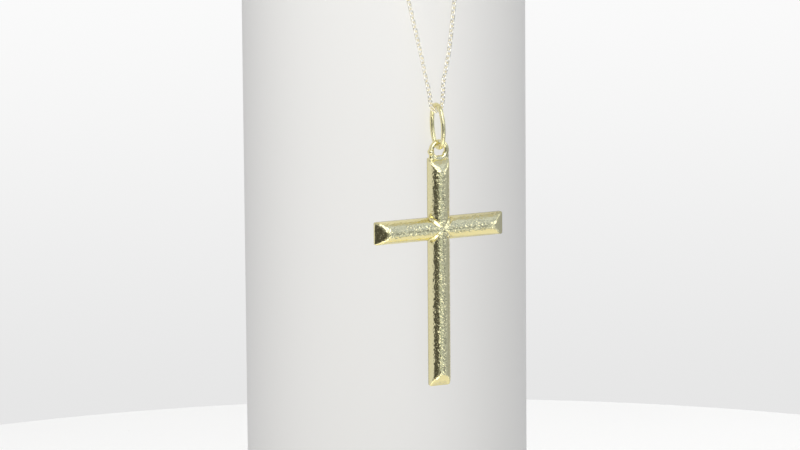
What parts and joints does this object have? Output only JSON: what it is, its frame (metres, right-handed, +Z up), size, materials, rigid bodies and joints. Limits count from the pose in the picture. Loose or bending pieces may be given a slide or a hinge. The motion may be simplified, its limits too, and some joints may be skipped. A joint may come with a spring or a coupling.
{
  "type": "cross necklace on a display column",
  "caption": "Gold cross pendant with rounded bars, hung by an oval bail from a fine chain that is draped over a plain white round display column.",
  "frame": {"origin": "centre of the column's round foot, on the surface that it stands on", "axes": "+Z up along the column, -Y towards the front, where the cross hangs, +X to the right as seen from the front"},
  "size_m": [0.0512, 0.0553, 0.295],
  "materials": {
    "lacquer": "matte white lacquer",
    "gold": "polished pale yellow gold"
  },
  "bodies": {
    "stand": {"display_column": "lacquer", "peg": "lacquer", "chain": "gold", "clasp": "gold"},
    "bail": {"bail": "gold"},
    "pendant": {"cross": "gold"}
  },
  "joints": [
    {"name": "bail_swing", "type": "hinge", "parent": "stand", "child": "bail", "pos_m": [-0.00379, -0.02775, 0.09316], "axis": [1, 0, 0], "range_deg": [-40, 0]},
    {"name": "cross_swing", "type": "hinge", "parent": "bail", "child": "pendant", "pos_m": [-0.0034, -0.02775, 0.0867], "axis": [0, 1, 0], "range_deg": [-25, 25]}
  ]
}
